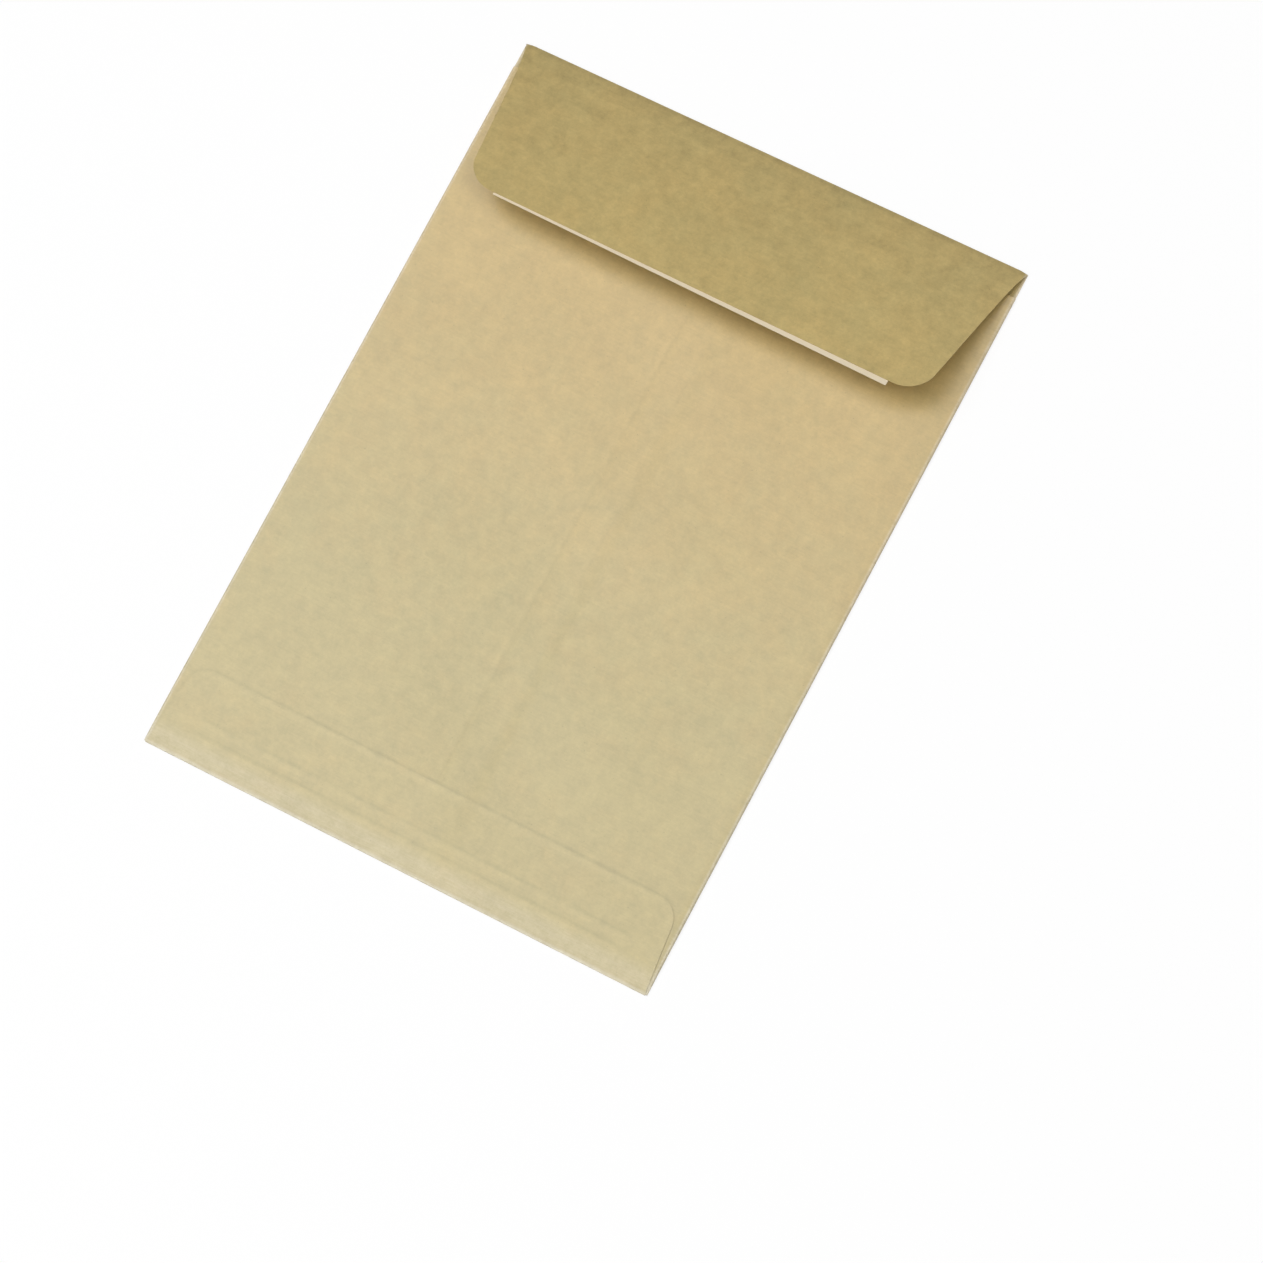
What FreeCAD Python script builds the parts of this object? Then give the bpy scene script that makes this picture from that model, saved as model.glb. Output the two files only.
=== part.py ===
import FreeCAD, Part
import math
import os

import Sketcher

# A kraft paper pocket envelope with a peel and seal flap, lying on its address side.
# X runs across the envelope, Y from its bottom edge to the fold of the top flap, Z up.
# The origin is on the surface that the envelope lies on, under the middle of its outline.
# Lengths are in millimetres and angles in degrees.

os.makedirs("parts", exist_ok=True)
doc = FreeCAD.newDocument("PaperEnvelope")
sheet = doc.addObject("Spreadsheet::Sheet", "Sizes")


class Size:
    # A number together with the formula that gives it from the cells of the sheet.
    def __init__(self, value, formula=None):
        self.value = value
        self.formula = formula or f"{value}"

    def combined(self, sign, other, value):
        return Size(value, f"({self.formula} {sign} {asSize(other).formula})")

    def __add__(self, other):
        return self.combined("+", other, self.value + asSize(other).value)

    def __sub__(self, other):
        return self.combined("-", other, self.value - asSize(other).value)

    def __mul__(self, other):
        return self.combined("*", other, self.value * asSize(other).value)

    def __truediv__(self, other):
        return self.combined("/", other, self.value / asSize(other).value)

    def __neg__(self):
        return Size(-self.value, f"(-1 * {self.formula})")


def asSize(number):
    return number if isinstance(number, Size) else Size(number)


def trig(name, angle):
    turned = getattr(math, name)(math.radians(angle.value))
    return Size(turned, f"{name}({angle.formula} * 1 deg)")


rowCount = 0


def sheetSize(alias, number):
    # Writes a driving dimension into the next row of the sheet.
    global rowCount
    rowCount += 1
    sheet.set(f"A{rowCount}", alias)
    sheet.set(f"B{rowCount}", str(number))
    sheet.setAlias(f"B{rowCount}", alias)
    return Size(number, f"Sizes.{alias}")


# The closed envelope
envelopeWidth = sheetSize("envelopeWidth", 162.0)
envelopeHeight = sheetSize("envelopeHeight", 229.0)
paperThickness = sheetSize("paperThickness", 0.15)
pocketGap = sheetSize("pocketGap", 0.9)
mouthDrop = sheetSize("mouthDrop", 8.0)

# The centre seam, where the right back panel lies over the left one
seamOffset = sheetSize("seamOffset", 0.7)
seamOverlap = sheetSize("seamOverlap", 9.3)
seamRamp = sheetSize("seamRamp", 2.0)

# The bottom flap and the two creases where the pocket comes down to its fold
bottomFlapDepth = sheetSize("bottomFlapDepth", 26.4)
bottomFlapInset = sheetSize("bottomFlapInset", 0.5)
bottomFlapTaper = sheetSize("bottomFlapTaper", 5.8)
bottomFlapCorner = sheetSize("bottomFlapCorner", 7.0)
bottomFoldHeight = sheetSize("bottomFoldHeight", 0.6)
lowerCrease = sheetSize("lowerCrease", 8.8)
lowerCreaseDrop = sheetSize("lowerCreaseDrop", 0.2)
upperCrease = sheetSize("upperCrease", 12.9)

# The top flap, which stands open on its fold
foldRadius = sheetSize("foldRadius", 0.35)
foldInset = sheetSize("foldInset", 0.5)
flapDepth = sheetSize("flapDepth", 49.5)
flapLift = sheetSize("flapLift", 18.0)
flapTaper = sheetSize("flapTaper", 8.6)
flapCorner = sheetSize("flapCorner", 9.3)

# The adhesive strip and the paper that covers it
adhesiveLength = sheetSize("adhesiveLength", 122.0)
adhesiveWidth = sheetSize("adhesiveWidth", 15.0)
adhesiveThickness = sheetSize("adhesiveThickness", 0.1)
adhesiveMargin = sheetSize("adhesiveMargin", 1.7)
linerLength = sheetSize("linerLength", 126.0)
linerWidth = sheetSize("linerWidth", 20.0)
linerThickness = sheetSize("linerThickness", 0.08)
linerLip = sheetSize("linerLip", 1.3)

doc.recompute()

# Places that several pieces share
halfWidth = envelopeWidth / 2
bottomEdge = -(envelopeHeight / 2)
pocketHeight = paperThickness * 2 + pocketGap
mouthEdge = envelopeHeight / 2 - mouthDrop
bottomFoldCentre = bottomEdge + bottomFoldHeight / 2
foldOuterRadius = foldRadius + paperThickness
foldCentre = envelopeHeight / 2 - foldOuterRadius
foldHalfWidth = halfWidth - foldInset


def newBody(name):
    return doc.addObject("PartDesign::Body", name)


def newSketch(body, role, name):
    sketch = body.newObject("Sketcher::SketchObject", name)
    plane = next(item for item in body.Origin.OriginFeatures if item.Role == role)
    sketch.AttachmentSupport = [(plane, "")]
    sketch.MapMode = "FlatFace"
    return sketch


def pin(sketch, axis, element, position, size):
    # Holds one coordinate of a point at a distance from the sketch's origin.
    label = f"Distance{axis}"
    number = sketch.addConstraint(Sketcher.Constraint(label, -1, 1, element, position, size.value))
    sketch.setExpression(f"Constraints[{number}]", size.formula)


def drawOutline(sketch, corners, arcs=()):
    # Closes an outline through the corners. An arc stands for the side that starts at its
    # corner number, runs anticlockwise and has the given centre.
    centres = dict(arcs)
    points = [FreeCAD.Vector(asSize(across).value, asSize(up).value, 0) for across, up in corners]
    for number, start in enumerate(points):
        end = points[(number + 1) % len(points)]
        if number in centres:
            across, up = centres[number]
            centre = FreeCAD.Vector(asSize(across).value, asSize(up).value, 0)
            circle = Part.Circle(centre, FreeCAD.Vector(0, 0, 1), (start - centre).Length)
            angles = [math.atan2(point.y - centre.y, point.x - centre.x) for point in (start, end)]
            sketch.addGeometry(Part.ArcOfCircle(circle, *angles), False)
        else:
            sketch.addGeometry(Part.LineSegment(start, end), False)
    for number, (across, up) in enumerate(corners):
        sketch.addConstraint(Sketcher.Constraint("Coincident", number, 2, (number + 1) % len(points), 1))
        pin(sketch, "X", number, 1, asSize(across))
        pin(sketch, "Y", number, 1, asSize(up))
    for number, (across, up) in centres.items():
        chord = points[(number + 1) % len(points)] - points[number]
        steep = abs(chord.y) >= abs(chord.x)
        pin(sketch, "X" if steep else "Y", number, 3, asSize(across if steep else up))
    doc.recompute()


def padSketch(body, sketch, length, midplane=False):
    pad = body.newObject("PartDesign::Pad", f"{sketch.Name}Pad")
    pad.Profile = sketch
    pad.setExpression("Length", length.formula)
    pad.Midplane = midplane
    doc.recompute()
    return pad


def acrossPad(name, corners, width, arcs=()):
    # A side view, drawn in Y and Z, carried across the envelope.
    body = newBody(name)
    sketch = newSketch(body, "YZ_Plane", f"{name}View")
    drawOutline(sketch, corners, arcs)
    padSketch(body, sketch, width, midplane=True)
    return body


def alongPad(name, corners, start, end, arcs=()):
    # An end view, drawn in X and Z, carried along the envelope from start to end.
    body = newBody(name)
    sketch = newSketch(body, "XZ_Plane", f"{name}View")
    sketch.setExpression("AttachmentOffset.Base.z", (-end).formula)
    drawOutline(sketch, corners, arcs)
    padSketch(body, sketch, end - start)
    return body


def roundCorners(body, pad, freeEdge, radius):
    # Rounds a sheet's two free corners. Their edges run through the sheet's thickness and
    # stand where the sketch's y is that of the free edge.
    toSketch = pad.Profile[0].Placement.inverse()
    slack = paperThickness.value / 2
    names = []
    for number, edge in enumerate(pad.Shape.Edges, 1):
        ends = [toSketch.multVec(vertex.Point) for vertex in edge.Vertexes]
        if abs(ends[0].z - ends[-1].z) > slack and abs(ends[0].y - freeEdge.value) < slack:
            names.append(f"Edge{number}")
    fillet = body.newObject("PartDesign::Fillet", f"{body.Name}Corners")
    fillet.Base = (pad, names)
    fillet.setExpression("Radius", radius.formula)
    body.Tip = fillet
    doc.recompute()


def join(kind, name, base, tool):
    result = doc.addObject(f"Part::{kind}", name)
    result.Base = base
    result.Tool = tool
    doc.recompute()
    return result


def pocketForm(name, inset):
    # The flattened tube: where its end view and its side view agree. The hollow inside is the
    # same form, set in by the paper's thickness, and it runs on past the mouth.
    side = halfWidth - pocketHeight / 2
    top = pocketHeight - inset
    reach = mouthEdge + inset * 2
    endView = alongPad(
        f"{name}End",
        [(-side, inset), (side, inset), (side, top), (-side, top)],
        bottomFoldCentre + inset,
        reach,
        arcs=[(1, (side, pocketHeight / 2)), (3, (-side, pocketHeight / 2))],
    )
    start = bottomFoldCentre + inset
    sideView = acrossPad(
        f"{name}Side",
        [
            (start, inset),
            (reach, inset),
            (reach, top),
            (bottomEdge + upperCrease, top),
            (bottomEdge + lowerCrease, top - lowerCreaseDrop),
            (start, bottomFoldHeight - paperThickness - inset),
        ],
        envelopeWidth,
    )
    return join("Common", name, endView, sideView)


def seamLayer():
    # The upper panel at the centre seam: its cut edge on the left, a ramp down on the right.
    over = seamOverlap - seamOffset
    top = pocketHeight + paperThickness
    corners = [(-seamOffset, pocketHeight), (over + seamRamp, pocketHeight), (over, top), (-seamOffset, top)]
    return alongPad("SeamLayer", corners, bottomEdge + upperCrease, mouthEdge)


def bottomFlap():
    # The bottom flap, from the bottom fold over the back panels, with rounded corners.
    slant = bottomFlapDepth * trig("tan", bottomFlapTaper)
    wide = halfWidth - bottomFlapInset
    narrow = wide - slant
    flapEdge = bottomEdge + bottomFlapDepth
    plan = newBody("BottomFlapPlan")
    sketch = newSketch(plan, "XY_Plane", "BottomFlapOutline")
    drawOutline(sketch, [(-wide, bottomEdge), (wide, bottomEdge), (narrow, flapEdge), (-narrow, flapEdge)])
    pad = padSketch(plan, sketch, pocketHeight * 2)
    roundCorners(plan, pad, flapEdge, bottomFlapCorner)
    top = pocketHeight + paperThickness
    lowerTop = top - lowerCreaseDrop
    layers = acrossPad(
        "BottomFlapSide",
        [
            (bottomFoldCentre, 0),
            (bottomFoldCentre, bottomFoldHeight - paperThickness),
            (bottomEdge + lowerCrease, lowerTop - paperThickness),
            (bottomEdge + upperCrease, pocketHeight),
            (flapEdge, pocketHeight),
            (flapEdge, top),
            (bottomEdge + upperCrease, top),
            (bottomEdge + lowerCrease, lowerTop),
            (bottomFoldCentre, bottomFoldHeight),
        ],
        envelopeWidth,
        arcs=[(8, (bottomFoldCentre, bottomFoldHeight / 2))],
    )
    return join("Common", "BottomFlap", plan, layers)


def seamRise():
    # The bottom flap goes up and over the centre seam.
    over = seamOverlap - seamOffset
    low = pocketHeight + paperThickness
    top = low + paperThickness
    flapEdge = bottomEdge + bottomFlapDepth
    endView = alongPad(
        "SeamRiseEnd",
        [(-seamOffset - seamRamp, low), (over + seamRamp, low), (over, top), (-seamOffset, top)],
        bottomEdge + upperCrease,
        flapEdge,
    )
    sideView = acrossPad(
        "SeamRiseSide",
        [(bottomEdge + upperCrease, low), (flapEdge, low), (flapEdge, top), (bottomEdge + upperCrease + seamRamp, top)],
        envelopeWidth,
    )
    return join("Common", "SeamRise", endView, sideView)


def topFold():
    # The front panel past the pocket's mouth and the fold that it turns back in.
    across = trig("sin", flapLift)
    up = trig("cos", flapLift)
    inner = (foldCentre + foldRadius * across, foldOuterRadius + foldRadius * up)
    outer = (foldCentre + foldOuterRadius * across, foldOuterRadius + foldOuterRadius * up)
    body = newBody("TopFold")
    panel = newSketch(body, "YZ_Plane", "TopPanelView")
    drawOutline(
        panel,
        [(mouthEdge, 0), (foldCentre, 0), (foldCentre, paperThickness), (mouthEdge, paperThickness)],
    )
    padSketch(body, panel, foldHalfWidth * 2, midplane=True)
    bend = newSketch(body, "YZ_Plane", "TopFoldView")
    drawBend(bend, outer, inner)
    padSketch(body, bend, foldHalfWidth * 2, midplane=True)
    return body


def drawBend(sketch, outer, inner):
    # The fold's section: an outer and an inner arc about one centre, closed by two short lines.
    centre = FreeCAD.Vector(foldCentre.value, foldOuterRadius.value, 0)
    last = math.radians(90 - flapLift.value)
    for radius in (foldOuterRadius, foldRadius):
        circle = Part.Circle(centre, FreeCAD.Vector(0, 0, 1), radius.value)
        sketch.addGeometry(Part.ArcOfCircle(circle, -math.pi / 2, last), False)
    low = [FreeCAD.Vector(foldCentre.value, height, 0) for height in (0, paperThickness.value)]
    high = [FreeCAD.Vector(point[0].value, point[1].value, 0) for point in (outer, inner)]
    sketch.addGeometry(Part.LineSegment(*low), False)
    sketch.addGeometry(Part.LineSegment(*high), False)
    for line, end in ((2, 1), (3, 2)):
        for arc in (0, 1):
            sketch.addConstraint(Sketcher.Constraint("Coincident", line, arc + 1, arc, end))
    pin(sketch, "X", 0, 3, foldCentre)
    pin(sketch, "Y", 0, 3, foldOuterRadius)
    sketch.addConstraint(Sketcher.Constraint("Coincident", 0, 3, 1, 3))
    pin(sketch, "X", 2, 1, foldCentre)
    pin(sketch, "X", 2, 2, foldCentre)
    pin(sketch, "Y", 2, 2, paperThickness)
    pin(sketch, "Y", 2, 1, asSize(0))
    pin(sketch, "X", 3, 1, outer[0])
    pin(sketch, "X", 3, 2, inner[0])
    doc.recompute()


def flapSheet(name, depth, thickness, corners):
    # A flat sheet that lies along the raised flap, with its lower face at the given depth under
    # the flap's own lower face. Its outline runs from the fold towards negative y.
    body = newBody(name)
    sketch = newSketch(body, "XY_Plane", f"{name}Outline")
    sketch.AttachmentOffset = FreeCAD.Placement(
        FreeCAD.Vector(), FreeCAD.Rotation(FreeCAD.Vector(1, 0, 0), -flapLift.value)
    )
    level = foldRadius - depth
    sketch.setExpression("AttachmentOffset.Rotation.Angle", (-flapLift).formula)
    sketch.setExpression("AttachmentOffset.Base.y", (foldCentre + level * trig("sin", flapLift)).formula)
    sketch.setExpression("AttachmentOffset.Base.z", (foldOuterRadius + level * trig("cos", flapLift)).formula)
    drawOutline(sketch, corners)
    pad = padSketch(body, sketch, thickness)
    return body, pad


def topFlap():
    narrow = foldHalfWidth - flapDepth * trig("tan", flapTaper)
    corners = [(-foldHalfWidth, 0), (-narrow, -flapDepth), (narrow, -flapDepth), (foldHalfWidth, 0)]
    body, pad = flapSheet("TopFlap", asSize(0), paperThickness, corners)
    roundCorners(body, pad, -flapDepth, flapCorner)
    return body


def flapStrip(name, length, width, edge, depth, thickness):
    # A straight strip under the flap. Its lower long edge lies at the given distance from the fold.
    half = length / 2
    corners = [(-half, width - edge), (-half, -edge), (half, -edge), (half, width - edge)]
    return flapSheet(name, depth, thickness, corners)[0]


def envelopeBody():
    # The whole envelope is one folded and glued sheet, so its layers make one solid.
    tube = join("Cut", "PocketTube", pocketForm("PocketOuter", asSize(0)), pocketForm("PocketHollow", paperThickness))
    body = doc.addObject("Part::MultiFuse", "EnvelopeBody")
    body.Shapes = [tube, seamLayer(), bottomFlap(), seamRise(), topFold(), topFlap()]
    body.Refine = True
    doc.recompute()
    return body


def adhesiveStrip():
    edge = flapDepth - adhesiveMargin
    return flapStrip("AdhesiveStrip", adhesiveLength, adhesiveWidth, edge, adhesiveThickness, adhesiveThickness)


def releaseLiner():
    # It hides the adhesive and its lip shows past the flap's free edge.
    depth = adhesiveThickness + linerThickness
    return flapStrip("ReleaseLiner", linerLength, linerWidth, flapDepth + linerLip, depth, linerThickness)


parts = {
    "envelope_body": envelopeBody(),
    "adhesive_strip": adhesiveStrip(),
    "release_liner": releaseLiner(),
}
for name, item in parts.items():
    item.Label = name
doc.recompute()

for item in doc.Objects:
    if "Invalid" in item.State or "Error" in item.State:
        raise RuntimeError(f"{item.Name} failed: {item.State}")
for name, item in parts.items():
    shape = item.Shape
    if shape.isNull() or not shape.isValid() or len(shape.Solids) != 1:
        raise RuntimeError(f"{name} is not one valid solid")
    shape.exportStep(f"parts/{name}.step")
    print(f"{name}: {shape.Volume:.1f} mm3, {len(shape.Faces)} faces")
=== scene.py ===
import math

import bpy
from mathutils import Matrix, Vector, noise


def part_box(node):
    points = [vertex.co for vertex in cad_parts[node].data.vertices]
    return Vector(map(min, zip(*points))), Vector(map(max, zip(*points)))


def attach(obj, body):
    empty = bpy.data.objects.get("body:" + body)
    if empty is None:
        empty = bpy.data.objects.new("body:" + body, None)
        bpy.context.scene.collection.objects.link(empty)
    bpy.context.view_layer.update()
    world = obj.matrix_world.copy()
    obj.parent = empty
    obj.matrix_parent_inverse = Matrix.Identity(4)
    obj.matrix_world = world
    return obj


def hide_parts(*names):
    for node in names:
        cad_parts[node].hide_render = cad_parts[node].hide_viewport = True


mm = 0.001
white = (1, 1, 1, 1)

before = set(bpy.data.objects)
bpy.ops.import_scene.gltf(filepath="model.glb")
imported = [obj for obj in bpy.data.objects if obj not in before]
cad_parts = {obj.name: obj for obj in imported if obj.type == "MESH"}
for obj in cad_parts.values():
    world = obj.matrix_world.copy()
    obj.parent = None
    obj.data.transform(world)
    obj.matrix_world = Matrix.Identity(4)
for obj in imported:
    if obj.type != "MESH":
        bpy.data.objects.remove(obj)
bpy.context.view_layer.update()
sheetLow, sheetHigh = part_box("envelope_body")
print("Frame loaded")


def addObject(name, data):
    made = bpy.data.objects.new(name, data)
    bpy.context.scene.collection.objects.link(made)
    return made


# Camera, worked out from the envelope's four corners in the photograph. Lengths are in millimetres.
cameraView = {
    "lens": 151.7,
    "sensor": 36,
    "place": (386.6, -241.6, 1420.9),  # in the part's frame
    "aim": (28.5, -25.6, 0.0),
    "roll": 28.2,  # degrees
    "clip": (10, 20000),
}


def makeCamera(view):
    camera = addObject("photoCamera", bpy.data.cameras.new("photoCamera"))
    camera.data.lens = view["lens"]
    camera.data.sensor_width = view["sensor"]
    place = Vector(view["place"]) * mm
    back = (place - Vector(view["aim"]) * mm).normalized()
    right = Vector((0, 1, 0)).cross(back).normalized()
    turned = Matrix((right, back.cross(right), back)).transposed()
    turned = turned @ Matrix.Rotation(math.radians(view["roll"]), 3, "Z")
    camera.matrix_world = Matrix.LocRotScale(place, turned.to_quaternion(), None)
    camera.data.clip_start, camera.data.clip_end = (reach * mm for reach in view["clip"])
    bpy.context.scene.camera = camera


makeCamera(cameraView)
print("Camera placed")

# Lights: "level" is the share of the plain level that a lamp gives a flat sheet, at which its
# colour renders as it is written. Distances are in metres. Directions and spreads are in degrees,
# as seen from the envelope.
lights = {
    "main": {"from": (3, 0), "distance": 3.0, "spread": (48, 36), "level": 0.338},
    "left": {"from": (-28, 0), "distance": 3.0, "spread": (34, 34), "level": 0.355},
    "right": {"from": (28, 0), "distance": 3.0, "spread": (16, 16), "level": 0.13},
    "low": {"from": (-10, -50), "distance": 3.0, "spread": (50, 50), "level": 0.165},
}
ambient = 0.12


def makeLamp(name, lamp):
    # "from" leans the lamp from straight above: to the right and to the top, when positive
    side, top = (math.tan(math.radians(angle)) for angle in lamp["from"])
    away = Vector((side, top, 1)).normalized()
    distance = lamp["distance"]
    light = addObject(name, bpy.data.lights.new(name, "AREA"))
    light.data.shape = "ELLIPSE"
    wide, long = (2 * distance * math.tan(math.radians(angle / 2)) for angle in lamp["spread"])
    light.data.size, light.data.size_y = wide, long
    light.data.energy = lamp["level"] * (math.pi * distance) ** 2 / away.z
    light.location = away * distance
    light.rotation_euler = away.to_track_quat("Z", "Y").to_euler()


def makeWorld(strength):
    world = bpy.data.worlds.new("studio")
    bpy.context.scene.world = world
    world.use_nodes = True
    nodes, links = world.node_tree.nodes, world.node_tree.links
    nodes.clear()
    path = nodes.new("ShaderNodeLightPath")
    seen = nodes.new("ShaderNodeMath")
    seen.operation = "MAXIMUM"
    links.new(path.outputs["Is Camera Ray"], seen.inputs[0])
    links.new(path.outputs["Is Transmission Ray"], seen.inputs[1])
    fill = nodes.new("ShaderNodeBackground")
    fill.inputs["Strength"].default_value = strength
    backdrop = nodes.new("ShaderNodeBackground")
    mix = nodes.new("ShaderNodeMixShader")
    output = nodes.new("ShaderNodeOutputWorld")
    links.new(seen.outputs[0], mix.inputs[0])
    links.new(fill.outputs[0], mix.inputs[1])
    links.new(backdrop.outputs[0], mix.inputs[2])
    links.new(mix.outputs[0], output.inputs["Surface"])
    for background in (fill, backdrop):
        background.inputs["Color"].default_value = white


for lampName, lampSizes in lights.items():
    makeLamp(lampName, lampSizes)
makeWorld(ambient)
print("Lights placed")

# Floor: pale, and nearly white to the camera apart from the envelope's shadow. "glow" is the share
# of plain white that the camera sees in it. Lengths are in millimetres.
floorLook = {"size": 6000, "drop": 0.05, "color": (0.97, 0.97, 0.97, 1), "glow": 0.8}


def makeFloor(look):
    half = look["size"] / 2 * mm
    mesh = bpy.data.meshes.new("floor")
    corners = [(-half, -half), (half, -half), (half, half), (-half, half)]
    mesh.from_pydata([(x, y, -look["drop"] * mm) for x, y in corners], [], [(0, 1, 2, 3)])
    floor = addObject("floor", mesh)
    material = bpy.data.materials.new("paleFloor")
    material.use_nodes = True
    nodes, links = material.node_tree.nodes, material.node_tree.links
    nodes.clear()
    path = nodes.new("ShaderNodeLightPath")
    share = nodes.new("ShaderNodeMath")
    share.operation = "MULTIPLY"
    share.inputs[1].default_value = look["glow"]
    matt = nodes.new("ShaderNodeBsdfDiffuse")
    matt.inputs["Color"].default_value = look["color"]
    glow = nodes.new("ShaderNodeEmission")
    mix = nodes.new("ShaderNodeMixShader")
    output = nodes.new("ShaderNodeOutputMaterial")
    links.new(path.outputs["Is Camera Ray"], share.inputs[0])
    links.new(share.outputs[0], mix.inputs[0])
    links.new(matt.outputs[0], mix.inputs[1])
    links.new(glow.outputs[0], mix.inputs[2])
    links.new(mix.outputs[0], output.inputs["Surface"])
    mesh.materials.append(material)


makeFloor(floorLook)
print("Floor laid")


def mathNode(tree, operation, first, second=None, third=None):
    node = tree.nodes.new("ShaderNodeMath")
    node.operation = operation
    feed(tree, node.inputs, (first, second, third))
    return node.outputs[0]


def vectorNode(tree, operation, first, second=None, scale=None):
    node = tree.nodes.new("ShaderNodeVectorMath")
    node.operation = operation
    feed(tree, node.inputs, (first, second))
    if scale is not None:
        feed(tree, [node.inputs["Scale"]], (scale,))
    return node.outputs["Value" if operation == "DOT_PRODUCT" else "Vector"]


def feed(tree, sockets, values):
    # Links a socket's source, or sets its plain value
    for socket, value in zip(sockets, values):
        if isinstance(value, bpy.types.NodeSocket):
            tree.links.new(value, socket)
        elif value is not None:
            socket.default_value = value


def numberSockets(tree, values, results):
    # A group's inputs with their plain values, and its outputs
    for name, value in values.items():
        socket = tree.interface.new_socket(name=name, in_out="INPUT", socket_type="NodeSocketFloat")
        socket.default_value = value
    for name in results:
        tree.interface.new_socket(name=name, in_out="OUTPUT", socket_type="NodeSocketFloat")


# Sizes of the envelope, in millimetres and degrees
width = (sheetHigh.x - sheetLow.x) / mm
height = (sheetHigh.y - sheetLow.y) / mm
envelope = {
    "thickness": 0.15,
    "pocketGap": 0.9,
    "mouthDrop": 8.0,
    "topFoldRadius": 0.425,  # to the middle of the paper, as the two below
    "sideFoldRadius": 0.525,
    "bottomFoldRadius": 0.225,
    "flapDepth": 49.5,
    "flapLift": 17.6,
    "flapTwist": 1.1,  # how much more than that its left end is lifted, and its right end less
    "flapTaper": 8.6,
    "flapCorner": 9.3,
    "flapInset": 1.2,  # from the envelope's side, past the shoulder at the fold
    "shoulderRun": 3.5,
    "bottomFlapDepth": 26.4,
    "bottomFlapTaper": 5.8,
    "bottomFlapCorner": 7.0,
    "seamEdge": -0.2,
    "seamOverlap": 9.3,
    "seamRamp": 5.0,
    "lowerCrease": 8.8,
    "lowerCreaseDrop": 0.08,
    "upperCrease": 12.9,
    "creaseRidge": 0.015,
    "creaseWidth": 1.1,
    "creaseEnd": 9.0,  # how far the creases stay from the sides
    "creaseEndFade": 3.0,
    "edgeLift": 0.06,  # how far the cut edges at the seam and the bottom flap stand up
    "edgeReach": 3.0,
    "slantedEdge": 0.5,  # the bottom flap's slanted sides stand up as if they lay this much further in
    "layerGap": 0.01,
    "lowRise": 1.5,  # how steeply the hollow opens above the bottom fold, as a power
    "sag": 0.4,  # how far the middle of the pocket's back hangs
    "sagWindow": (-4.0, 45.0),  # where it starts and is full, up from the upper crease
    "ripple": 0.3,
    "rippleLow": 0.4,  # the share of the ripples that is left below the sag
    "rippleSize": 42.0,
    "backShare": 0.4,  # past this share of its fold's height, the paper counts as the back
    "cell": 2.5,  # the blank's longest steps, and its finer ones below
    "lowCell": 0.8,
    "creaseCell": 0.3,
    "rampCell": 0.3,
    "overlapCell": 1.2,
    "mouthRows": (0.15, 0.3),
    "flapCell": 1.2,
    "bottomFlapCell": 0.4,
    "foldSteps": 10,
    "topFoldSteps": 14,
}


def foldLines(sizes):
    # Where each fold starts in the blank, how far it turns and how long its round part is
    half = sizes["thickness"] / 2
    lines = {}
    for name, reach in (("side", width / 2), ("bottom", height / 2), ("top", height / 2)):
        radius = sizes[f"{name}FoldRadius"]
        turn = math.radians(180 - (sizes["flapLift"] if name == "top" else 0))
        start = reach - radius - half
        lines[name] = {"start": start, "radius": radius, "turn": turn, "arc": radius * turn}
    return lines


folds = foldLines(envelope)


# One shader group for every paper: slow clouds, pulp formation, fibres, tint and rare dark specks
paperGrain = {
    "sizes": {
        "Cloud Size": 40.0,
        "Formation Size": 7.0,
        "Fibre Length": 6.0,
        "Fibre Width": 0.45,
        "Tint Size": 9.0,
        "Speck Size": 1.1,
        "Speck Share": 0.04,
    },
    "cloud": {"Detail": 2, "Roughness": 0.5},
    "formation": {"Detail": 5, "Roughness": 0.85},
    "fibre": {"Detail": 3, "Roughness": 0.65},
    "tint": {"Detail": 3, "Roughness": 0.7},
    "speckRadius": 0.16,  # as a share of the specks' size
    "formationHeight": 0.6,  # how far the formation stands up, next to the fibres
}


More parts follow.
